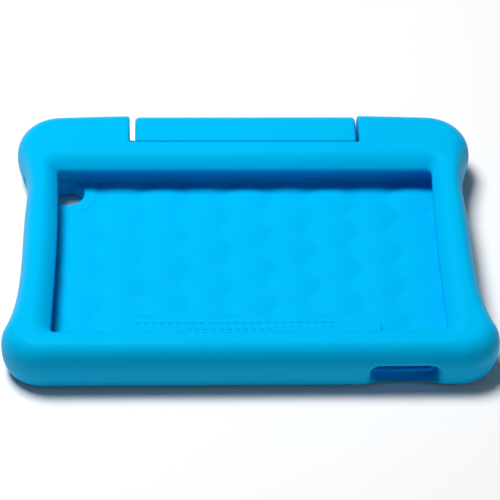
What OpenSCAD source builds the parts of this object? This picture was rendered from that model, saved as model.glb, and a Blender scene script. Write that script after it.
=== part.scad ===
// Shock-absorbing foam case for a seven-inch tablet, with a folding stand that is also its handle.
// Origin: middle of the back face that the case lies on.
// +X runs along the long side, +Y towards the handle, +Z towards the screen. Millimetres.

/* [Case] */
// Width across the two lower corner bulges
case_w = 219; // [216:1:224]
// Height from the lower edge to the handle edge beside the notch
case_h = 160; // [158:1:164]
// Thickness from the back face to the crest of the rim
case_t = 26; // [25:0.5:28]
// Width across the two upper corner bulges
case_top_w = 214.6; // [212:0.2:218]
// Width between the waists of the two sides
waist_w = 203.6; // [202:0.2:208]
// Height of the waist above the middle of the case
waist_y = 24; // [18:1:28]
// How far the handle edge bows outwards
edge_crown = 2; // [1:0.5:3]
// Height above the back at which the case is widest
belly_z = 14; // [12:0.5:15]
// How far the side wall tucks in towards the back face
tuck_in = 5.8; // [4:0.2:7]
// Largest inset of the rounded outer rim
rim_round = 9.8; // [8:0.2:11]

/* [Tablet pocket] */
// Length of the tablet that the case is made for
tablet_w = 192; // [190:0.5:193]
// Height of that tablet, lying lengthwise
tablet_h = 115; // [113:0.5:116]
// Thickness of that tablet
tablet_t = 9.6; // [9:0.1:10]
// Width of the screen window
window_w = 174; // [172:0.2:180]
// Height of the screen window
window_h = 104.4; // [102:0.2:108]
// Distance of the window's middle from the case's middle along X
window_x = -0.7; // [-1:0.1:1]
// Distance of the window's middle from the case's middle, towards the lower edge
window_drop = 10.2; // [9:0.2:12]
// Height of the window's lip above the back face
lip_z = 20.2; // [19.8:0.1:21]
// Thickness of the lip at the window's edge
lip_t = 1.8; // [1.4:0.1:2.2]
// Width of the slope between the lip and the crest of the rim
slope_w = 9; // [7:0.5:10]

/* [Openings] */
// Diameter of the hole for the tablet's rear camera
camera_d = 15.2; // [14:0.2:16]
// Camera hole's middle
camera_at = [-83.2, 38.9];
// Width of the speaker opening in the lower wall
speaker_w = 29.8; // [20:0.2:32]
// Middle of the speaker opening along X
speaker_x = 67; // [60:1:70]
// Height above the back of the speaker opening's top
speaker_top = 15; // [13:0.5:16]
// Height above the back of the speaker opening's floor
speaker_floor = 2; // [1.5:0.5:5]
// Length of the button opening in the left wall
button_l = 19; // [14:1:24]
// Middle of the button opening along Y
button_y = 36.5; // [34:0.5:40]
// Length of the charging-port opening in the left wall
port_l = 30; // [20:1:36]
// Middle of the charging-port opening along Y
port_y = -14; // [-20:1:-8]

/* [Stand] */
// Width of the notch in the handle edge
notch_w = 108.8; // [107:0.2:114]
// Distance of the notch's inner wall from the case's middle
notch_y = 56.2; // [54.6:0.2:58]
// Width of the handle grip
grip_w = 105; // [100:0.5:105.4]
// Sideways play taken up by the stand
stand_x = 0.85; // [0:0.05:1]
// Distance of the grip's outer face from the case's middle
grip_y = 79.4; // [77:0.1:79.8]
// Width of each arm
arm_w = 15; // [13:0.5:15]
// Distance of each arm's middle from the stand's middle
arm_x = 44.5; // [42:0.5:44.5]
// Height of the hinge axis above the back face
hinge_z = 2.85; // [2.8:0.05:2.9]
// Distance of the hinge axis from the case's middle
hinge_y = -4; // [-8:1:0]
// Diameter of the pivot pins
pin_d = 2.5; // [2:0.1:2.6]

/* [Hidden] */
eps = 0.01;
foam_blue = [0.0, 0.70, 0.95];
nylon_blue = [0.05, 0.42, 0.72];
steel = [0.72, 0.73, 0.75];

// Lower and upper corner bulges, as ellipses, and where the waist curve leaves them
low_r = [18.7, 16];
low_end = 19;
top_r = [20.8, 20];
top_start = -17;
waist_lean = -0.066;
// Points along a quarter corner, a side and a straight edge of every ring
n_corner = 11;
n_side = 16;
n_edge = 2;
n_half = 2 * n_edge + 2 * n_corner + n_side;
n_ring = 2 * n_half - 2;

// Middle of the handle edge, so that the edge beside the notch lies at half the case's height
edge_peak = case_h / 2 + edge_crown * pow(notch_w / 2 / (case_top_w / 2 - top_r[0]), 2);
lip_under = lip_z - lip_t;
floor_z = lip_under - tablet_t;
window_r = 3;
pocket_r = 10;
// Exponent of the rounded rim's section, where 2 would be an ellipse
rim_power = 2 / 2.2;

recess_z = 5.4;
recess_gap = 0.6;
shelf_z = 6.2;
arm_t = 4.9;
arm_z = 0.4;
grip_gap = 0.7;
grip_top = 25.6;
reach = 40;

bar_w = 7.5;
bar_u = 0.5;
bar_t = 1.8;
bar_z = 1.95;
bar_end_y = 72;
stiff_y = 60;
stiff_w = 97;
rivet_d = 3;
rivet_head = 4.4;
rivet_head_t = 0.6;
rivet_ys = [63.5, 69];
barrel_r = 2.3;
fit_gap = 0.03;

cheek_out = 8.1;
slot_half = 5;
housing_v = [-11, 5.5];
slot_v = -3.2;
housing_z = 0.3;
head_r = 1.9;
head_t = 1;
nut_r = 2.1;
nut_t = 1.6;
washer_r = 2.2;
washer_t = 0.7;
spring_t = 0.25;
plate_u = 11;
plate_v = [-14, 9];
plate_t = 1.2;
flow_d = 3;
screw_r = 1;
screw_head_r = 1.9;
screw_head_t = 1.2;
screw_v = -7.6;
screw_u = 4.2;

// ---------- outlines ----------
function arc(c, r, a0, a1, n) =
    [for (i = [0:n - 1]) let (a = a0 + (a1 - a0) * i / (n - 1))
        [c[0] + r[0] * cos(a), c[1] + r[1] * sin(a)]];
function line(p, q, n) = [for (i = [0:n - 1]) p + (q - p) * i / n];
function bezier(p, q, r, s, n) =
    [for (i = [1:n]) let (t = i / (n + 1), k = 1 - t)
        k * k * k * p + 3 * k * k * t * q + 3 * k * t * t * r + t * t * t * s];
function unit(v) = v / norm(v);
function ellipse_tangent(r, a) = unit([-r[0] * sin(a), r[1] * cos(a)]);
function mirrored(half) =
    concat(half, [for (i = [len(half) - 2:-1:1]) [-half[i][0], half[i][1]]]);

// Right half of the dog-bone outline, from the middle of the lower edge to the middle of the handle edge
function outer_half() =
    let (
        low = [case_w / 2 - low_r[0], -case_h / 2 + low_r[1]],
        top = [case_top_w / 2 - top_r[0], edge_peak - edge_crown - top_r[1]],
        waist = [waist_w / 2, waist_y],
        a = arc(low, low_r, -90, low_end, n_corner),
        b = arc(top, top_r, top_start, 90, n_corner),
        ta = ellipse_tangent(low_r, low_end),
        tb = ellipse_tangent(top_r, top_start),
        tw = unit([waist_lean, 1]),
        la = norm(waist - a[n_corner - 1]),
        lb = norm(b[0] - waist),
        n_low = n_side - 6)
    concat(
        line([0, -case_h / 2], a[0], n_edge), a,
        bezier(a[n_corner - 1], a[n_corner - 1] + ta * la * 0.27, waist - tw * la * 0.35, waist, n_low),
        [waist],
        bezier(waist, waist + tw * lb * 0.35, b[0] - tb * lb * 0.35, b[0], n_side - n_low - 1),
        b,
        [for (i = [1:n_edge]) let (x = top[0] * (1 - i / n_edge))
            [x, edge_peak - edge_crown * pow(x / top[0], 2)]]);
// Right half of a rounded rectangle with the same number of points
function rect_half(w, h, r, drop) =
    let (c = [w / 2 - r, h / 2 - r])
    concat(
        line([0, -h / 2 - drop], [c[0], -h / 2 - drop], n_edge),
        arc([c[0], -c[1] - drop], [r, r], -90, 0, n_corner),
        [for (i = [1:n_side]) [w / 2, -c[1] - drop + 2 * c[1] * i / (n_side + 1)]],
        arc([c[0], c[1] - drop], [r, r], 0, 90, n_corner),
        [for (i = [1:n_edge]) [c[0] * (1 - i / n_edge), h / 2 - drop]]);

outer = mirrored(outer_half());
window = [for (p = mirrored(rect_half(window_w, window_h, window_r, window_drop))) p + [window_x, 0]];
pocket = mirrored(rect_half(tablet_w, tablet_h, pocket_r, window_drop));
inward = [for (i = [0:n_ring - 1])
    let (t = unit(outer[(i + 1) % n_ring] - outer[(i + n_ring - 1) % n_ring])) [-t[1], t[0]]];
// The rim's rounding shrinks where the rail is narrow
rounding = [for (i = [0:n_ring - 1]) min(rim_round, 0.42 * norm(outer[i] - window[i]))];

// ---------- rings of the body, from the back face over the rim into the pocket ----------
function at_height(ring, z) = [for (p = ring) [p[0], p[1], z]];
function lower_ring(a) = at_height(
    [for (i = [0:n_ring - 1]) outer[i] + inward[i] * tuck_in * (1 - pow(sin(a), rim_power))],
    belly_z * (1 - pow(cos(a), rim_power)));
function upper_ring(a) = at_height(
    [for (i = [0:n_ring - 1]) outer[i] + inward[i] * rounding[i] * (1 - pow(cos(a), rim_power))],
    belly_z + (case_t - belly_z) * pow(sin(a), rim_power));
// The rim falls to the lip in a parabola
function slope_ring(share) = at_height(
    [for (i = [0:n_ring - 1])
        let (crest = outer[i] + inward[i] * rounding[i],
            run = crest - window[i],
            w = min(slope_w, 0.9 * norm(run)))
        window[i] + unit(run) * w * share],
    case_t - (case_t - lip_z) * pow(1 - share, 2));
rings = concat(
    [for (a = [0:22.5:90]) lower_ring(a)],
    [for (a = [18:18:90]) upper_ring(a)],
    [for (share = [1:-0.25:0]) slope_ring(share)],
    [at_height(window, lip_under), at_height(pocket, lip_under), at_height(pocket, floor_z)]);

module foam_shell() {
    last = (len(rings) - 1) * n_ring;
    back_middle = len(rings) * n_ring;
    polyhedron(
        points = concat(
            [for (ring = rings) for (p = ring) p],
            [[0, 0, 0], [0, 0, floor_z]]),
        faces = concat(
            [for (r = [0:len(rings) - 2]) for (i = [0:n_ring - 1])
                let (a = r * n_ring + i, b = r * n_ring + (i + 1) % n_ring)
                [a, a + n_ring, b + n_ring, b]],
            [for (i = [0:n_ring - 1]) [back_middle, i, (i + 1) % n_ring]],
            [for (i = [0:n_ring - 1]) [back_middle + 1, last + (i + 1) % n_ring, last + i]]),
        convexity = 8);
}

// ---------- openings of the body ----------
// Straight hole along Z with a rounded rectangular section
module rounded_hole(w, h, r, depth) {
    linear_extrude(height = depth) {
        square([w - 2 * r, h], center = true);
        square([w, h - 2 * r], center = true);
        for (x = [-1, 1], y = [-1, 1])
            translate([x * (w / 2 - r), y * (h / 2 - r)]) circle(r = r, $fn = 32);
    }
}
module camera_hole() {
    translate([camera_at[0], camera_at[1], -1]) cylinder(d = camera_d, h = floor_z + 2, $fn = 64);
}
module speaker_opening() {
    scoop_r = 100;
    // How far the scoop reaches in at the back face
    scoop_in = 5.8;
    scoop_h = speaker_floor + 1.5;
    wall_in = -window_drop - tablet_h / 2 + 1;
    translate([speaker_x, wall_in, (speaker_top + speaker_floor) / 2])
        rotate([90, 0, 0])
            rounded_hole(speaker_w, speaker_top - speaker_floor, 4, reach);
    // Shallow scoop under the opening
    translate([speaker_x, -case_h / 2 + scoop_in - scoop_r, -1])
        cylinder(r1 = scoop_r + 1, r2 = scoop_r - scoop_h + 1, h = scoop_h, $fn = 96);
}
// Opening in the left wall, centred on a height above the back
module side_opening(y, z, length, height) {
    translate([-tablet_w / 2 + 1, y, z])
        rotate([90, 0, -90])
            rounded_hole(length, height, 3, reach);
}
module stand_recess() {
    grip_space = [notch_w, reach, reach];
    translate([-notch_w / 2, notch_y, shelf_z]) cube(grip_space);
    low_w = 2 * (arm_x + arm_w / 2 + recess_gap);
    translate([stand_x - low_w / 2, notch_y, -1]) cube([low_w, reach, shelf_z + 2]);
    for (side = [-1, 1])
        translate([stand_x + side * arm_x - arm_w / 2 - recess_gap, hinge_y + housing_v[0] - recess_gap, -1])
            cube([arm_w + 2 * recess_gap, 2 * reach, recess_z + 1]);
    for (side = [-1, 1])
        translate([stand_x + side * arm_x - cheek_out - fit_gap, hinge_y + housing_v[0] - fit_gap, -1])
            cube([2 * (cheek_out + fit_gap), housing_v[1] - housing_v[0], recess_z + 1]);
}
module foam_body() {
    color(foam_blue) difference() {
        foam_shell();
        camera_hole();
        speaker_opening();
        side_opening(button_y, 9.2, button_l, 10.4);
        side_opening(port_y, 9.6, port_l, 6.8);
        stand_recess();
        for (side = [-1, 1]) anchor_plate(side);
        screw_shanks(plate_t);
    }
}

// ---------- stand ----------
module at_hinge(side) {
    translate([stand_x + side * arm_x, hinge_y, 0])
        mirror([side < 0 ? 1 : 0, 0, 0])
            children();
}
// Section of the grip, with the same rounded outer side as the rim beside it
function grip_section() =
    let (steps = 8, front = notch_y + grip_gap)
    concat(
        [[front, arm_z]],
        [for (i = [0:steps]) let (a = 18 + 72 * i / steps)
            [grip_y - tuck_in * (1 - pow(sin(a), rim_power)),
                max(arm_z, belly_z * (1 - pow(cos(a), rim_power)))]],
        [for (i = [1:steps]) let (a = 90 * i / steps)
            [grip_y - rim_round * (1 - pow(cos(a), rim_power)),
                belly_z + (grip_top - belly_z) * pow(sin(a), rim_power)]],
        [[front, grip_top]]);
module stand_foam() {
    root_y = hinge_y + 6.4;
    color(foam_blue) difference() {
        union() {
            translate([stand_x - grip_w / 2, 0, 0])
                rotate([90, 0, 90])
                    linear_extrude(height = grip_w) polygon(grip_section());
            for (side = [-1, 1])
                translate([stand_x + side * arm_x - arm_w / 2, root_y, arm_z])
                    cube([arm_w, notch_y + 8 - root_y, arm_t]);
        }
        for (side = [-1, 1]) arm_bar_blank(side);
        crossbar_blank();
        rivets();
    }
}
module arm_bar_blank(side) {
    at_hinge(side)
        translate([bar_u - bar_w / 2, 0, bar_z]) cube([bar_w, bar_end_y - hinge_y, bar_t]);
}
module crossbar_blank() {
    translate([stand_x - stiff_w / 2, stiff_y, bar_z + bar_t]) cube([stiff_w, bar_end_y - stiff_y, bar_t]);
}
module rivets() {
    for (side = [-1, 1], y = rivet_ys)
        at_hinge(side) translate([bar_u, y - hinge_y, bar_z]) {
            cylinder(d = rivet_d, h = 2 * bar_t, $fn = 32);
            translate([0, 0, -rivet_head_t]) cylinder(d = rivet_head, h = rivet_head_t, $fn = 32);
            translate([0, 0, 2 * bar_t]) cylinder(d = rivet_head, h = rivet_head_t, $fn = 32);
        }
}
module crossbar_stiffener() {
    color(steel) difference() {
        crossbar_blank();
        rivets();
    }
}
module stiffener_rivets() {
    color(steel) rivets();
}
module arm_bar(side) {
    color(steel) difference() {
        union() {
            arm_bar_blank(side);
            at_hinge(side) translate([bar_u - bar_w / 2, 0, hinge_z])
                rotate([0, 90, 0]) cylinder(r = barrel_r, h = bar_w, $fn = 48);
        }
        at_hinge(side) translate([-cheek_out, 0, hinge_z])
            rotate([0, 90, 0]) cylinder(d = pin_d + 2 * fit_gap, h = 2 * cheek_out, $fn = 48);
        rivets();
    }
}

// ---------- hinge, once per side ----------
module anchor_plate(side) {
    color(nylon_blue) at_hinge(side) difference() {
        translate([-plate_u, plate_v[0], recess_z]) cube([2 * plate_u, plate_v[1] - plate_v[0], plate_t]);
        for (u = [-1, 1], v = [-10.5, -2.5, 5.5])
            translate([u * 9.2, v, recess_z - 1]) cylinder(d = flow_d, h = plate_t + 2, $fn = 32);
        for (u = [-1, 1])
            translate([u * screw_u, screw_v, recess_z - 1]) cylinder(r = screw_r, h = plate_t + 2, $fn = 32);
    }
}
module along_pin(u, length, r) {
    translate([u, 0, hinge_z]) rotate([0, 90, 0]) cylinder(r = r, h = length, $fn = 48);
}
module hinge_housing(side) {
    color(nylon_blue) at_hinge(side) difference() {
        translate([-cheek_out, housing_v[0], housing_z])
            cube([2 * cheek_out, housing_v[1] - housing_v[0], recess_z - housing_z]);
        translate([-slot_half, slot_v, housing_z - 1]) cube([2 * slot_half, 20, recess_z + 1]);
        along_pin(-cheek_out - 1, 2 * cheek_out + 2, pin_d / 2);
        along_pin(cheek_out - head_t - 0.2, 2, head_r + 0.1);
        along_pin(-cheek_out - 1, nut_t + 1.2, nut_r + 0.1);
        for (u = [-1, 1]) translate([u * screw_u, screw_v, 0]) {
            cylinder(r = screw_r + 0.1, h = recess_z + 1, $fn = 32);
            translate([0, 0, housing_z - eps])
                cylinder(r1 = screw_head_r + 0.1, r2 = screw_r + 0.1, h = screw_head_t, $fn = 32);
        }
    }
}
// Ends of the four housing screws, from the top of the anchor plates down
module screw_shanks(length) {
    for (side = [-1, 1], u = [-1, 1])
        at_hinge(side) translate([u * screw_u, screw_v, recess_z + plate_t - length])
            cylinder(r = screw_r, h = length, $fn = 32);
}
module housing_screws() {
    slot = [2.6, 0.6, 1];
    color(steel) {
        difference() {
            union() {
                screw_shanks(recess_z + plate_t - housing_z);
                for (side = [-1, 1], u = [-1, 1])
                    at_hinge(side) translate([u * screw_u, screw_v, housing_z])
                        cylinder(r1 = screw_head_r, r2 = screw_r, h = screw_head_t, $fn = 32);
            }
            for (side = [-1, 1], u = [-1, 1], turn = [0, 90])
                at_hinge(side) translate([u * screw_u, screw_v, housing_z])
                    rotate([0, 0, turn]) cube(slot, center = true);
        }
    }
}
module pivot_pin(side) {
    color(steel) at_hinge(side) {
        along_pin(-cheek_out + 0.1, 2 * cheek_out - head_t - 0.2, pin_d / 2);
        along_pin(cheek_out - head_t - 0.1, head_t, head_r);
    }
}
module lock_nut(side) {
    color(steel) at_hinge(side) difference() {
        translate([-cheek_out + 0.1, 0, hinge_z]) rotate([0, 90, 0]) cylinder(r = nut_r, h = nut_t, $fn = 6);
        along_pin(-cheek_out - 1, nut_t + 3, pin_d / 2);
    }
}
module washer(side, u) {
    at_hinge(side) difference() {
        along_pin(u, washer_t, washer_r);
        along_pin(u - 1, washer_t + 2, pin_d / 2 + 0.05);
    }
}
module outer_washer(side) {
    color("white") washer(side, slot_half - washer_t);
}
module inner_washer(side) {
    color("white") washer(side, bar_u - bar_w / 2 - washer_t - 0.05);
}
// Dished ring that presses the washers together
module spring_washer(side) {
    dish = bar_u - bar_w / 2 - washer_t - 0.05 + slot_half;
    color(steel) at_hinge(side) translate([-slot_half, 0, hinge_z]) rotate([0, 90, 0])
        rotate_extrude($fn = 48)
            polygon([[pin_d / 2 + 0.1, 0], [pin_d / 2 + 0.35, 0], [washer_r, dish - spring_t],
                [washer_r, dish], [washer_r - 0.2, dish], [pin_d / 2 + 0.1, spring_t]]);
}

foam_body();
stand_foam();
crossbar_stiffener();
stiffener_rivets();
arm_bar(-1);  // left_arm_bar
arm_bar(1);  // right_arm_bar
anchor_plate(-1);  // left_anchor_plate
anchor_plate(1);  // right_anchor_plate
hinge_housing(-1);  // left_hinge_housing
hinge_housing(1);  // right_hinge_housing
housing_screws();
pivot_pin(-1);  // left_pivot_pin
pivot_pin(1);  // right_pivot_pin
lock_nut(-1);  // left_lock_nut
lock_nut(1);  // right_lock_nut
outer_washer(-1);  // left_outer_washer
outer_washer(1);  // right_outer_washer
inner_washer(-1);  // left_inner_washer
inner_washer(1);  // right_inner_washer
spring_washer(-1);  // left_spring_washer
spring_washer(1);  // right_spring_washer
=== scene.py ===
import math

import bpy
import numpy as np
from mathutils import Matrix, Vector


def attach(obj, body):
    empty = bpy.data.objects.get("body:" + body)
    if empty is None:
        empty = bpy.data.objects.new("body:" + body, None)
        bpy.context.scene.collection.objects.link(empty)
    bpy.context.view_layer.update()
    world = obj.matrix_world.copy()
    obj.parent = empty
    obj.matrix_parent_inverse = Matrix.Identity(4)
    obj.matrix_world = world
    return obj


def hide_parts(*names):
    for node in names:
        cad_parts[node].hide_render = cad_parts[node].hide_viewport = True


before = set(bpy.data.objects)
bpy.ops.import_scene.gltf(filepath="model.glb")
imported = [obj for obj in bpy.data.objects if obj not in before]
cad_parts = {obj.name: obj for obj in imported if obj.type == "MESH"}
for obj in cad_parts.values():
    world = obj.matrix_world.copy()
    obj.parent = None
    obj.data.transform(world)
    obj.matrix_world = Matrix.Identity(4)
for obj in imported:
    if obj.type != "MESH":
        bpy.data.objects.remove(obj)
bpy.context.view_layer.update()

# Foam case for a small tablet, with a folding stand that is also its handle.
# The two foam parts are closed surfaces of distance fields, worked out in millimetres
# in the CAD frame; the hinge hardware is the CAD's own, with better materials.
MM = 0.001

# ---------- camera ----------
CAM_TARGET = (1.151, -4.1, 13.0)
CAM_DISTANCE = 1080.45
CAM_AZIMUTH = -2.979
CAM_ELEVATION = 44.485
CAM_ROLL = 1.917
CAM_LENS = 170.04


def make_camera():
    """The camera, from its target, distance, angles and roll."""
    az, el = math.radians(CAM_AZIMUTH), math.radians(CAM_ELEVATION)
    roll = math.radians(CAM_ROLL)
    forward = Vector((-math.sin(az) * math.cos(el), math.cos(az) * math.cos(el), -math.sin(el)))
    right = Vector((math.cos(az), math.sin(az), 0))
    up = right.cross(forward)
    tilted_right = right * math.cos(roll) + up * math.sin(roll)
    tilted_up = up * math.cos(roll) - right * math.sin(roll)
    place = (Vector(CAM_TARGET) - forward * CAM_DISTANCE) * MM
    rows = zip(tilted_right, tilted_up, -forward, place)
    data = bpy.data.cameras.new("camera")
    data.lens = CAM_LENS
    data.sensor_width = 36
    data.clip_start = 0.05
    data.clip_end = 20
    camera = bpy.data.objects.new("camera", data)
    bpy.context.scene.collection.objects.link(camera)
    camera.matrix_world = Matrix([list(row) for row in rows] + [[0, 0, 0, 1]])
    bpy.context.scene.camera = camera


make_camera()

# ---------- sizes of the case, as in the CAD, in mm ----------
CASE_W, CASE_H, CASE_T = 219.0, 160.0, 26.0
CASE_TOP_W, WAIST_W, WAIST_Y = 214.6, 203.6, 24.0
EDGE_CROWN, BELLY_Z, TUCK_IN, RIM_ROUND = 2.0, 14.0, 5.8, 9.8
LOW_R, LOW_END = (18.7, 16.0), 19.0
TOP_R, TOP_START = (20.8, 20.0), -17.0
WAIST_LEAN = -0.066
TABLET_W, TABLET_H, TABLET_T = 192.0, 115.0, 9.6
WINDOW_W, WINDOW_H, WINDOW_R, POCKET_R = 174.0, 104.4, 2.2, 10.0
WINDOW_X, WINDOW_DROP = -0.7, 10.2
LIP_Z, LIP_T, SLOPE_W = 20.2, 1.8, 9.0
LIP_UNDER = LIP_Z - LIP_T
FLOOR_Z = LIP_UNDER - TABLET_T
NOTCH_W, NOTCH_Y, SHELF_Z = 108.8, 56.2, 6.2
CAMERA_AT, CAMERA_R = (-83.2, 38.9), 7.6
SPEAKER_X, SPEAKER_W, SPEAKER_Z = 67.0, 29.8, (2.0, 15.0)
SCOOP_R, SCOOP_IN = 100.0, 3.8
BUTTONS = dict(y=36.5, z=9.2, length=19.0, height=10.4)
PORT = dict(y=-14.0, z=9.6, length=30.0, height=6.8)
STAND_X, GRIP_W, GRIP_Y, GRIP_GAP, GRIP_TOP = 0.85, 105.0, 79.4, 0.7, 25.6
ARM_X, ARM_W, ARM_Z, ARM_T = 44.5, 15.0, 0.4, 4.9
HINGE_Y = -4.0
RECESS_Z, RECESS_GAP = 5.4, 0.6
HOUSING_V = (-11.0, 5.5)
PLATE_U, PLATE_V, PLATE_T = 11.0, (-14.0, 9.0), 1.2
BAR_U, BAR_W, BAR_T, BAR_Z, BAR_END_Y = 0.5, 7.5, 1.8, 1.95, 72.0
STIFF_W, STIFF_Y = 97.0, 60.0
RIVET_R, RIVET_HEAD_T, RIVET_YS = 2.2, 0.6, (63.5, 69.0)
EDGE_PEAK = CASE_H / 2 + EDGE_CROWN * (NOTCH_W / 2 / (CASE_TOP_W / 2 - TOP_R[0])) ** 2

# ---------- looks that only the finished surface has, in mm ----------
# Exponent of the rounded rim's section, where 2 would be an ellipse
SUPER = 2.2
# How far the lip bows in at the middle of a side, and leans out at the right far end
LIP_BOW, LIP_FLARE = 1.0, 1.5
# The least width that the rail is taken to have
RAIL_MIN = 6
# Room left round the hinge hardware, and depth of a cut that leaves the part altogether
CLEAR, FAR = 0.2, 120
# Domes of the pocket floor: spacing in a column, between columns, height, place and softness
DOME_PITCH, DOME_COLUMN, DOME_HIGH = 22.7, 19.66, 1.6
DOME_X, DOME_ROWS = 0.6, (12.7, 24.05)
DOME_BLUR = 40.0
# Level ring round the camera hole
RING_R, RING_SOFT = 12.4, 2.4
# Label panel, which is left blank but for two rows of dashes
PLATE_MIDDLE, PLATE_HALF, PLATE_R, PLATE_RAISE = (1.6, -51.5), (56.8, 10.0), 6.0, 0.2


# ---------- plan of the case ----------
def arc(centre, radii, start, end, n):
    a = np.radians(np.linspace(start, end, n))
    return np.c_[centre[0] + radii[0] * np.cos(a), centre[1] + radii[1] * np.sin(a)]


def bezier(p, q, r, s, n):
    t = np.linspace(0, 1, n)[:, None]
    k = 1 - t
    return k**3 * p + 3 * k * k * t * q + 3 * k * t * t * r + t**3 * s


def unit(v):
    return v / np.linalg.norm(v)


def ellipse_tangent(radii, angle):
    a = math.radians(angle)
    return unit(np.array([-radii[0] * math.sin(a), radii[1] * math.cos(a)]))


def outline():
    """Closed outline of the case at its belly."""
    low = (CASE_W / 2 - LOW_R[0], -CASE_H / 2 + LOW_R[1])
    top = (CASE_TOP_W / 2 - TOP_R[0], EDGE_PEAK - EDGE_CROWN - TOP_R[1])
    a = arc(low, LOW_R, -90, LOW_END, 120)
    b = arc(top, TOP_R, TOP_START, 90, 120)
    waist = np.array([WAIST_W / 2, WAIST_Y])
    lean = unit(np.array([WAIST_LEAN, 1]))
    ta, tb = ellipse_tangent(LOW_R, LOW_END), ellipse_tangent(TOP_R, TOP_START)
    la, lb = np.linalg.norm(waist - a[-1]), np.linalg.norm(b[0] - waist)
    lower = bezier(a[-1], a[-1] + ta * la * 0.27, waist - lean * la * 0.35, waist, 120)
    upper = bezier(waist, waist + lean * lb * 0.35, b[0] - tb * lb * 0.35, b[0], 60)
    x = np.linspace(top[0], 0, 60)
    edge = np.c_[x, EDGE_PEAK - EDGE_CROWN * (x / top[0]) ** 2]
    half = np.r_[a, lower[1:], upper[1:], b[1:], edge[1:]]
    return np.r_[half, half[-2::-1] * (-1, 1)]


def inside_distance(points, ring):
    """Distance of plan points to a closed ring, above zero inside it."""
    p, q = ring, np.roll(ring, -1, 0)
    step = q - p
    square = (step**2).sum(1)
    best = np.empty(len(points))
    for start in range(0, len(points), 4000):
        part = points[start:start + 4000, None]
        t = np.clip(((part - p) * step).sum(2) / square, 0, 1)
        near = np.sqrt((((part - p) - t[..., None] * step) ** 2).sum(2).min(1))
        above = (p[:, 1] > part[..., 1]) != (q[:, 1] > part[..., 1])
        rise = np.where(step[:, 1] == 0, 1, step[:, 1])
        crossing = p[:, 0] + (part[..., 1] - p[:, 1]) * step[:, 0] / rise
        odd = (above & (part[..., 0] < crossing)).sum(1) % 2
        best[start:start + 4000] = np.where(odd == 1, near, -near)
    return best


MAP_STEP = 1.0
MAP_X = np.arange(-114, 114.5, MAP_STEP)
MAP_Y = np.arange(-84, 86.5, MAP_STEP)


def make_map():
    """The outline's inside distance at every point of the map."""
    gx, gy = np.meshgrid(MAP_X, MAP_Y, indexing="ij")
    points = np.c_[gx.ravel(), gy.ravel()]
    return inside_distance(points, outline()).reshape(gx.shape)


OUTLINE_MAP = make_map()


def outline_distance(x, y):
    """The outline's inside distance, read from its map by cubic interpolation."""
    def place(v, axis):
        at = np.clip((v - axis[0]) / MAP_STEP, 1, len(axis) - 3)
        cell = np.floor(at).astype(int)
        t = at - cell
        weights = (
            t * (-0.5 + t * (1 - 0.5 * t)),
            1 + t * t * (-2.5 + 1.5 * t),
            t * (0.5 + t * (2 - 1.5 * t)),
            t * t * (-0.5 + 0.5 * t),
        )
        return cell, weights

    i, wx = place(x, MAP_X)
    j, wy = place(y, MAP_Y)
    total = 0
    for a in range(4):
        for b in range(4):
            total = total + wx[a] * wy[b] * OUTLINE_MAP[i + a - 1, j + b - 1]
    return total


# ---------- distance fields, below zero inside ----------
def smax(a, b, k):
    """The larger of two fields, with the crease between them rounded over about k mm."""
    h = np.maximum(k - np.abs(a - b), 0) / k
    return np.maximum(a, b) + h * h * k / 4


def smin(a, b, k):
    """The smaller of two fields, with the crease between them rounded."""
    return -smax(-a, -b, k)


def rectangle(x, y, half_x, half_y, r):
    """Field of a rectangle with rounded corners."""
    qx = np.abs(x) - half_x + r
    qy = np.abs(y) - half_y + r
    outside = np.hypot(np.maximum(qx, 0), np.maximum(qy, 0))
    return outside + np.minimum(np.maximum(qx, qy), 0) - r


def box(x, y, z, lo, hi, r=0.0):
    """Field of a box with rounded edges."""
    q = []
    for v, a, b in zip((x, y, z), lo, hi):
        q.append(np.abs(v - (a + b) / 2) - (b - a) / 2 + r)
    outside = np.sqrt(sum(np.maximum(v, 0) ** 2 for v in q))
    return outside + np.minimum(np.maximum(np.maximum(q[0], q[1]), q[2]), 0) - r


def rounded_corner(u, v, width, height, power):
    """Field of a corner that is a superellipse; u and v run from the flat sides outwards."""
    a = np.maximum(u / width, 0)
    b = np.maximum(v / height, 0)
    g = (a**power + b**power + 1e-12) ** (1 / power)
    slope = np.hypot((a / g) ** (power - 1) / width, (b / g) ** (power - 1) / height)
    return (g - 1) / np.maximum(slope, 1 / np.maximum(width, height))


def rim_side(d, z, rounding, top):
    """Outer side wall: d is the plan distance from the belly's outline."""
    over = rounded_corner(rounding - d, z - BELLY_Z, rounding, top - BELLY_Z, SUPER)
    under = rounded_corner(TUCK_IN - d, BELLY_Z - z, TUCK_IN, BELLY_Z, SUPER)
    return np.where(z > BELLY_Z, over, under)


def dome_relief(x, y):
    """Low domes in a hexagonal lattice, with soft valleys; about 0 at the tops."""
    closeness = 0
    for k, row in enumerate(DOME_ROWS):
        dx = x - DOME_X - k * DOME_COLUMN
        dx = dx - np.round(dx / (2 * DOME_COLUMN)) * 2 * DOME_COLUMN
        dy = y - row
        dy = dy - np.round(dy / DOME_PITCH) * DOME_PITCH
        for shift in (-DOME_PITCH, 0, DOME_PITCH):
            closeness = closeness + np.exp(-(dx * dx + (dy + shift) ** 2) / DOME_BLUR)
    return DOME_HIGH * DOME_BLUR * np.log(closeness) / (DOME_PITCH**2 / 3)


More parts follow.
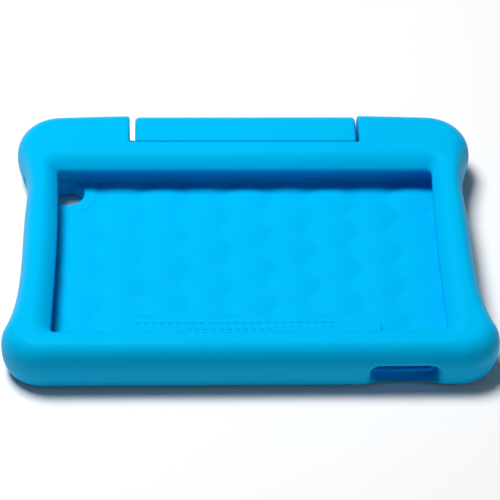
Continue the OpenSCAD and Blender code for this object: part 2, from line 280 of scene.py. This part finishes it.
def floor_height(x, y):
    """Height of the pocket floor, with its domes, the ring and the label panel."""
    height = FLOOR_Z + dome_relief(x, y)
    ring = np.hypot(x - CAMERA_AT[0], y - CAMERA_AT[1])
    height = smax(height, FLOOR_Z - 0.15 - np.maximum(ring - RING_R, 0) / RING_SOFT, 0.6)
    plate = rectangle(x - PLATE_MIDDLE[0], y - PLATE_MIDDLE[1], *PLATE_HALF, PLATE_R)
    return smax(height, FLOOR_Z + PLATE_RAISE - 0.2 - np.maximum(plate, 0), 0.3)


def plan_of(x, y):
    """What the case's field needs to know about each place in plan."""
    d = outline_distance(x, y)
    along = np.clip((y + WINDOW_DROP) / WINDOW_H + 0.5, 0, 1)
    bow = LIP_BOW * np.sin(math.pi * along**1.3)
    # the right lip leans outwards towards the handle edge
    flare = LIP_FLARE * along * np.clip(x / 40, 0, 1)
    e = rectangle(x - WINDOW_X - flare, y + WINDOW_DROP, WINDOW_W / 2 - bow, WINDOW_H / 2, WINDOW_R)
    p = rectangle(x, y + WINDOW_DROP, TABLET_W / 2, TABLET_H / 2, POCKET_R)
    rail = np.maximum(d + e, RAIL_MIN)
    return d, e, p, rail, floor_height(x, y)


def hinge_side(x):
    """Distance from the stand's middle, the same for both sides, less that of an arm's middle."""
    return np.abs(x - STAND_X) - ARM_X


def cut_speaker(solid, x, y, z):
    """Speaker opening in the near wall, with a shallow scoop below it."""
    below, above = SPEAKER_Z
    section = rectangle(x - SPEAKER_X, z - (below + above) / 2, SPEAKER_W / 2, (above - below) / 2, 4.0)
    speaker = np.maximum(section, y + WINDOW_DROP + TABLET_H / 2 - 1)
    solid = smax(solid, -speaker, 3.2)
    scoop_y = y + CASE_H / 2 + SCOOP_R - SCOOP_IN - below + z
    scoop = (np.hypot(x - SPEAKER_X, scoop_y) - SCOOP_R) * 0.7
    return smax(solid, -smax(scoop, z - below - 1.5, 1.0), 1.0)


def cut_openings(solid, x, y, z):
    """Camera hole, speaker opening and the two openings in the left wall."""
    camera = np.hypot(x - CAMERA_AT[0], y - CAMERA_AT[1]) - CAMERA_R
    solid = smax(solid, -np.maximum(camera, z - FLOOR_Z - 2), 1.6)
    solid = cut_speaker(solid, x, y, z)
    for hole in (BUTTONS, PORT):
        section = rectangle(y - hole["y"], z - hole["z"], hole["length"] / 2, hole["height"] / 2, 3.0)
        solid = smax(solid, -np.maximum(section, x + TABLET_W / 2 - 1), 1.6)
    return solid


def cut_stand_room(solid, x, y, z):
    """Notch for the grip, channels for the arms, and room for the anchor plates."""
    half_notch, half_arm = NOTCH_W / 2, ARM_W / 2 + RECESS_GAP
    notch = box(x, y, z, (-half_notch, NOTCH_Y, SHELF_Z), (half_notch, FAR, 60), 0.8)
    side = np.abs(x - STAND_X)
    low = box(side, y, z, (-60, NOTCH_Y, -40), (ARM_X + half_arm, FAR, SHELF_Z + 4), 0.8)
    u = hinge_side(x)
    v = y - HINGE_Y
    start = HINGE_Y + HOUSING_V[0] - RECESS_GAP
    channel = box(u, y, z, (-half_arm, start, -40), (half_arm, FAR, RECESS_Z), 0.6)
    solid = smax(solid, -smin(np.minimum(notch, low), channel, 0.5), 1.2)
    around = CLEAR / 2
    near = (-PLATE_U - around, PLATE_V[0] - around, RECESS_Z - around)
    far = (PLATE_U + around, PLATE_V[1] + around, RECESS_Z + PLATE_T + around)
    return np.maximum(solid, -box(u, v, z, near, far))


def case_field(x, y, z, plan):
    d, e, p, rail, floor = plan
    rounding = smin(RIM_ROUND, 0.42 * rail, 1.0)
    run = smin(SLOPE_W, 0.52 * rail, 1.0)
    outer = rim_side(d, z, rounding, CASE_T)
    # the rim falls to the lip in a parabola
    share = np.clip((run - e) / run, 0, 1)
    fall = 2 * (CASE_T - LIP_Z) * share / run
    inner = smax((z - CASE_T + (CASE_T - LIP_Z) * share**2) / np.sqrt(1 + fall * fall), -e, 0.7)
    # the cavity is the window's void joined to the tablet's, above the floor
    under_lip = smax(p, z - LIP_UNDER, 1.2)
    cavity = smax(smin(-inner, under_lip, 0.9), floor - z, 1.6)
    solid = np.maximum(outer, -cavity)
    solid = cut_openings(solid, x, y, z)
    return cut_stand_room(solid, x, y, z)


def stand_field(x, y, z, plan):
    del plan
    side = np.abs(x - STAND_X)
    section = rim_side(GRIP_Y - y, z, RIM_ROUND, GRIP_TOP)
    grip = smax(section, NOTCH_Y + GRIP_GAP - y, 1.6)
    grip = smax(grip, ARM_Z - z, 1.2)
    grip = smax(grip, side - GRIP_W / 2, 2.2)
    u = hinge_side(x)
    arm = box(u, y, z, (-ARM_W / 2, HINGE_Y + 6.4, ARM_Z), (ARM_W / 2, NOTCH_Y + 8, ARM_Z + ARM_T), 1.2)
    solid = smin(grip, arm, 1.5)
    near = (BAR_U - BAR_W / 2 - CLEAR, HINGE_Y - 20, BAR_Z - CLEAR)
    far = (BAR_U + BAR_W / 2 + CLEAR, BAR_END_Y + CLEAR, BAR_Z + BAR_T + CLEAR)
    bar = box(u, y, z, near, far)
    near = (-60, STIFF_Y - CLEAR, BAR_Z + BAR_T - CLEAR)
    far = (STIFF_W / 2 + CLEAR, BAR_END_Y + CLEAR, BAR_Z + 2 * BAR_T + CLEAR)
    void = np.minimum(bar, box(side, y, z, near, far))
    for row in RIVET_YS:
        head = np.hypot(u - BAR_U, y - row) - RIVET_R - CLEAR
        deep = np.abs(z - BAR_Z - BAR_T) - BAR_T - RIVET_HEAD_T - CLEAR
        void = np.minimum(void, np.maximum(head, deep))
    return np.maximum(solid, -void)


# ---------- surface of a field ----------
def spaced(*runs):
    """Grid coordinates from (start, end, step) runs that follow on from each other."""
    parts = [np.linspace(a, b, max(2, round((b - a) / step) + 1))[:-1] for a, b, step in runs]
    return np.concatenate(parts + [[runs[-1][1]]])


def field_values(field, plan, xs, ys, zs):
    x, y = (g.ravel() for g in np.meshgrid(xs, ys, indexing="ij"))
    flat = tuple(v.reshape(len(xs), len(ys), 1) for v in plan(x, y)) if plan else None
    return field(xs[:, None, None], ys[None, :, None], zs[None, None, :], flat)


def crossings(values, grid, axis):
    """Where the field changes sign along one axis: (mask, share along the edge)."""
    low = np.take(values, range(values.shape[axis] - 1), axis)
    high = np.take(values, range(1, values.shape[axis]), axis)
    mask = (low < 0) != (high < 0)
    share = np.where(mask, low / np.where(mask, low - high, 1), 0)
    return mask, share, low < 0


def surface_net(values, grid):
    """One vertex in each cell that the surface crosses and one quad for each crossed edge."""
    cells = tuple(n - 1 for n in values.shape)
    total = np.zeros(cells + (3,))
    count = np.zeros(cells)
    edges = []
    for axis in range(3):
        mask, share, inward = crossings(values, grid, axis)
        edges.append((mask, inward))
        others = [a for a in range(3) if a != axis]
        for first in (0, 1):
            for second in (0, 1):
                cut = [slice(None)] * 3
                cut[others[0]] = slice(first, first + cells[others[0]])
                cut[others[1]] = slice(second, second + cells[others[1]])
                m, t = mask[tuple(cut)], share[tuple(cut)]
                count += m
                for a in range(3):
                    shape = [1, 1, 1]
                    shape[a] = cells[a]
                    start = grid[a][:-1].reshape(shape)
                    size = np.diff(grid[a]).reshape(shape)
                    at = t if a == axis else (first if a == others[0] else second)
                    total[..., a] += np.where(m, start + size * at, 0)
    used = count > 0
    index = np.full(cells, -1)
    index[used] = np.arange(used.sum())
    vertices = total[used] / count[used][:, None]
    quads = []
    for axis in range(3):
        mask, inward = edges[axis]
        b, c = (axis + 1) % 3, (axis + 2) % 3
        inner = [slice(None)] * 3
        inner[b] = slice(1, -1)
        inner[c] = slice(1, -1)
        found = np.argwhere(mask[tuple(inner)])
        found[:, b] += 1
        found[:, c] += 1
        corner = []
        for shift_b, shift_c in ((1, 1), (0, 1), (0, 0), (1, 0)):
            cell = found.copy()
            cell[:, b] -= shift_b
            cell[:, c] -= shift_c
            corner.append(index[tuple(cell.T)])
        quad = np.stack(corner, 1)
        outwards = inward[tuple(found.T)]
        quads.append(np.where(outwards[:, None], quad, quad[:, ::-1]))
    return vertices, np.concatenate(quads)


def gradient(sample, p, h):
    parts = []
    for a in range(3):
        step = np.zeros(3)
        step[a] = h
        parts.append((sample(p + step) - sample(p - step)) / (2 * h))
    return np.stack(parts, 1)


def onto_surface(sample, p, rounds):
    for _ in range(rounds):
        g = gradient(sample, p, 0.06)
        square = np.maximum((g**2).sum(1), 0.05)
        step = (sample(p) / square)[:, None] * g
        size = np.linalg.norm(step, axis=1, keepdims=True)
        p = p - step * np.minimum(1, 0.5 / np.maximum(size, 1e-9))
    return p


def relax(p, quads, share):
    """Moves each vertex part of the way to the middle of its neighbours."""
    near = np.zeros_like(p)
    count = np.zeros(len(p))
    for k in range(4):
        a, b = quads[:, k], quads[:, (k + 1) % 4]
        for one, other in ((a, b), (b, a)):
            for axis in range(3):
                near[:, axis] += np.bincount(one, p[other, axis], len(p))
            count += np.bincount(one, minlength=len(p))
    return p + share * (near / count[:, None] - p)


def field_object(name, field, plan, grid):
    values = field_values(field, plan, *grid)
    vertices, quads = surface_net(values, grid)

    def sample(p):
        x, y, z = p.T
        return field(x, y, z, plan(x, y) if plan else None)

    vertices = onto_surface(sample, vertices, 3)
    vertices = onto_surface(sample, relax(vertices, quads, 0.5), 2)
    normals = gradient(sample, vertices, 0.12)
    normals /= np.linalg.norm(normals, axis=1, keepdims=True)
    mesh = bpy.data.meshes.new(name)
    mesh.from_pydata((vertices * MM).tolist(), [], quads.tolist())
    mesh.validate()
    mesh.shade_smooth()
    mesh.normals_split_custom_set_from_vertices(normals.tolist())
    made = bpy.data.objects.new(name, mesh)
    bpy.context.scene.collection.objects.link(made)
    return made


# ---------- materials ----------
def new_material(name):
    material = bpy.data.materials.new(name)
    material.use_nodes = True
    tree = material.node_tree
    return material, tree.nodes, tree.links, tree.nodes["Principled BSDF"]


def object_noise(nodes, links, scale, detail, stretch=(1, 1, 1)):
    place = nodes.new("ShaderNodeTexCoord")
    mapping = nodes.new("ShaderNodeMapping")
    mapping.inputs["Scale"].default_value = stretch
    noise = nodes.new("ShaderNodeTexNoise")
    noise.inputs["Scale"].default_value = scale
    noise.inputs["Detail"].default_value = detail
    links.new(place.outputs["Object"], mapping.inputs["Vector"])
    links.new(mapping.outputs["Vector"], noise.inputs["Vector"])
    return noise


def colour_mix(nodes, links, factor, low, high):
    ramp = nodes.new("ShaderNodeValToRGB")
    ramp.color_ramp.elements[0].position = 0.3
    ramp.color_ramp.elements[1].position = 0.7
    ramp.color_ramp.elements[0].color = (*low, 1)
    ramp.color_ramp.elements[1].color = (*high, 1)
    links.new(factor, ramp.inputs["Fac"])
    return ramp.outputs["Color"]


def spread(nodes, links, value, low, high):
    span = nodes.new("ShaderNodeMapRange")
    span.inputs["From Min"].default_value = 0.3
    span.inputs["From Max"].default_value = 0.7
    span.inputs["To Min"].default_value = low
    span.inputs["To Max"].default_value = high
    links.new(value, span.inputs["Value"])
    return span.outputs["Result"]


def bumps(nodes, links, shader, layers):
    """Chained bump nodes from (height output, distance in metres, strength)."""
    previous = None
    for height, distance, strength in layers:
        bump = nodes.new("ShaderNodeBump")
        bump.inputs["Distance"].default_value = distance
        bump.inputs["Strength"].default_value = strength
        links.new(height, bump.inputs["Height"])
        if previous is not None:
            links.new(previous, bump.inputs["Normal"])
        previous = bump.outputs["Normal"]
    links.new(previous, shader.inputs["Normal"])


def foam_material():
    """Moulded closed-cell foam: matte, with a fine skin and slight unevenness."""
    material, nodes, links, shader = new_material("blue_foam")
    skin = object_noise(nodes, links, 1400, 3)
    cells = object_noise(nodes, links, 420, 2)
    broad = object_noise(nodes, links, 28, 2)
    colour = colour_mix(nodes, links, broad.outputs["Fac"], (0.0, 0.43, 0.785), (0.0, 0.442, 0.805))
    links.new(colour, shader.inputs["Base Color"])
    links.new(spread(nodes, links, cells.outputs["Fac"], 0.4, 0.5), shader.inputs["Roughness"])
    shader.inputs["Specular IOR Level"].default_value = 0.1
    shader.inputs["Specular Tint"].default_value = (0.0, 0.8, 1.0, 1)
    layers = [
        (skin.outputs["Fac"], 0.00006, 0.5),
        (cells.outputs["Fac"], 0.00012, 0.5),
        (broad.outputs["Fac"], 0.0004, 0.25),
    ]
    bumps(nodes, links, shader, layers)
    return material


def nylon_material(name, low, high):
    """Moulded nylon with a fine spark-eroded grain."""
    material, nodes, links, shader = new_material(name)
    grain = object_noise(nodes, links, 2600, 2)
    broad = object_noise(nodes, links, 120, 2)
    links.new(colour_mix(nodes, links, broad.outputs["Fac"], low, high), shader.inputs["Base Color"])
    links.new(spread(nodes, links, broad.outputs["Fac"], 0.38, 0.5), shader.inputs["Roughness"])
    bumps(nodes, links, shader, [(grain.outputs["Fac"], 0.00004, 0.5)])
    return material


def steel_material(name, stretch, rough):
    """Bright steel with fine drawn or brushed lines along one direction."""
    material, nodes, links, shader = new_material(name)
    lines = object_noise(nodes, links, 900, 3, stretch)
    broad = object_noise(nodes, links, 90, 2)
    colour = colour_mix(nodes, links, broad.outputs["Fac"], (0.50, 0.51, 0.53), (0.60, 0.61, 0.63))
    links.new(colour, shader.inputs["Base Color"])
    links.new(spread(nodes, links, lines.outputs["Fac"], rough, rough + 0.14), shader.inputs["Roughness"])
    shader.inputs["Metallic"].default_value = 1.0
    bumps(nodes, links, shader, [(lines.outputs["Fac"], 0.00003, 0.5)])
    return material


def backdrop_material():
    material, nodes, links, shader = new_material("backdrop")
    broad = object_noise(nodes, links, 3, 2)
    colour = colour_mix(nodes, links, broad.outputs["Fac"], (0.86, 0.86, 0.86), (0.88, 0.88, 0.88))
    links.new(colour, shader.inputs["Base Color"])
    shader.inputs["Roughness"].default_value = 0.9
    shader.inputs["Specular IOR Level"].default_value = 0.0
    return material


# ---------- the two foam parts ----------
# Runs of sampling planes along X, Y and Z: start, end and spacing, finest where edges are tight
CASE_GRID = (
    spaced((-110.6, -99, 1.0), (-99, -70, 0.8), (-70, -57, 1.4), (-57, -50, 0.7), (-50, 50, 1.7),
           (50, 57, 0.7), (57, 84, 1.1), (84, 99, 0.8), (99, 110.6, 1.0)),
    spaced((-81.2, -69, 0.9), (-69, -58, 0.75), (-58, 24, 1.65), (24, 52, 0.95),
           (52, 60, 0.7), (60, 82.4, 1.0)),
    spaced((-0.75, 26.9, 0.7)),
)
STAND_GRID = (
    spaced((-52.9, -37, 0.75), (-37, 38.7, 1.2), (38.7, 54.6, 0.75)),
    spaced((1.2, 55, 1.2), (55, 80.2, 0.75)),
    spaced((-0.1, 26.4, 0.6)),
)
foam = foam_material()


def dress(obj, material, body):
    """Give a new piece its material and its body."""
    obj.data.materials.clear()
    obj.data.materials.append(material)
    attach(obj, body)


case_foam = field_object("case_foam", case_field, plan_of, CASE_GRID)
dress(case_foam, foam, "case")
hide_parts("foam_body")

stand_skin = field_object("stand_skin", stand_field, None, STAND_GRID)
dress(stand_skin, foam, "stand")
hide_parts("stand_foam")

# ---------- two rows of plain dashes on the floor's label panel ----------
DASH, DASH_STEP, DASH_DEEP, DASH_TOP = 2.4, 3.6, 1.1, 0.22
DASH_ROWS = ((-45.9, -51.0, 37.5), (-50.0, -28.5, 9.5))


def bar_shape(x, y, z, half_x, half_y, top):
    """Vertices and faces of a low bar with a narrower top."""
    inset = 0.25
    ring = ((-1, -1), (1, -1), (1, 1), (-1, 1))
    low = [(x + a * half_x, y + b * half_y, z - 0.3) for a, b in ring]
    high = [(x + a * (half_x - inset), y + b * (half_y - inset), z + top) for a, b in ring]
    faces = [(3, 2, 1, 0), (4, 5, 6, 7)]
    faces += [(k, (k + 1) % 4, (k + 1) % 4 + 4, k + 4) for k in range(4)]
    return low + high, faces


def make_dashes():
    """One piece with every dash, each standing on the floor under its middle."""
    vertices, faces = [], []
    for y, start, end in DASH_ROWS:
        for x in np.arange(start, end, DASH_STEP):
            level = float(floor_height(np.array([x + DASH / 2]), np.array([y]))[0])
            points, sides = bar_shape(x + DASH / 2, y, level, DASH / 2, DASH_DEEP / 2, DASH_TOP)
            faces += [tuple(i + len(vertices) for i in side) for side in sides]
            vertices += points
    mesh = bpy.data.meshes.new("floor_dashes")
    mesh.from_pydata([tuple(c * MM for c in v) for v in vertices], [], faces)
    made = bpy.data.objects.new("floor_dashes", mesh)
    bpy.context.scene.collection.objects.link(made)
    return made


dress(make_dashes(), foam, "case")

# ---------- hinge hardware ----------
nylon = nylon_material("blue_nylon", (0.02, 0.16, 0.42), (0.03, 0.20, 0.50))
washer_nylon = nylon_material("white_nylon", (0.70, 0.70, 0.68), (0.78, 0.78, 0.76))
bar_steel = steel_material("bar_steel", (1, 0.04, 1), 0.28)
turned_steel = steel_material("turned_steel", (0.2, 1, 1), 0.22)
MATERIAL_OF = {
    "anchor_plate": nylon,
    "hinge_housing": nylon,
    "arm_bar": bar_steel,
    "crossbar_stiffener": bar_steel,
    "spring_washer": turned_steel,
    "outer_washer": washer_nylon,
    "inner_washer": washer_nylon,
}
for node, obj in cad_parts.items():
    chosen = turned_steel
    for key, material in MATERIAL_OF.items():
        if node.endswith(key):
            chosen = material
    obj.data.materials.clear()
    obj.data.materials.append(chosen)


# ---------- floor and light ----------
def make_floor():
    """A plain pale floor just under the case."""
    mesh = bpy.data.meshes.new("floor")
    half = 4.0
    corners = [(-half, -half, 0), (half, -half, 0), (half, half, 0), (-half, half, 0)]
    mesh.from_pydata(corners, [], [(0, 1, 2, 3)])
    floor = bpy.data.objects.new("floor", mesh)
    floor.data.materials.append(backdrop_material())
    floor.location = (0, 0, -0.0002)
    bpy.context.scene.collection.objects.link(floor)


def area_light(name, place, target, size, power):
    """A soft box at place that points at target; metres and watts."""
    data = bpy.data.lights.new(name, "AREA")
    data.shape = "RECTANGLE"
    data.size, data.size_y = size
    data.energy = power
    light = bpy.data.objects.new(name, data)
    light.location = place
    light.rotation_euler = (Vector(target) - Vector(place)).to_track_quat("-Z", "Y").to_euler()
    bpy.context.scene.collection.objects.link(light)


def make_world(strength):
    """Even white light from all round."""
    world = bpy.data.worlds.new("studio")
    world.use_nodes = True
    background = world.node_tree.nodes["Background"]
    background.inputs["Color"].default_value = (1, 1, 1, 1)
    background.inputs["Strength"].default_value = strength
    bpy.context.scene.world = world


make_floor()
area_light("key", (-0.37, 0.23, 1.3), (0, 0, 0), (0.5, 0.5), 22.6)
area_light("fill", (1.1, -0.7, 0.45), (0, 0, 0), (0.8, 0.6), 1.3)
make_world(0.05)
bpy.context.scene.view_settings.view_transform = "Standard"
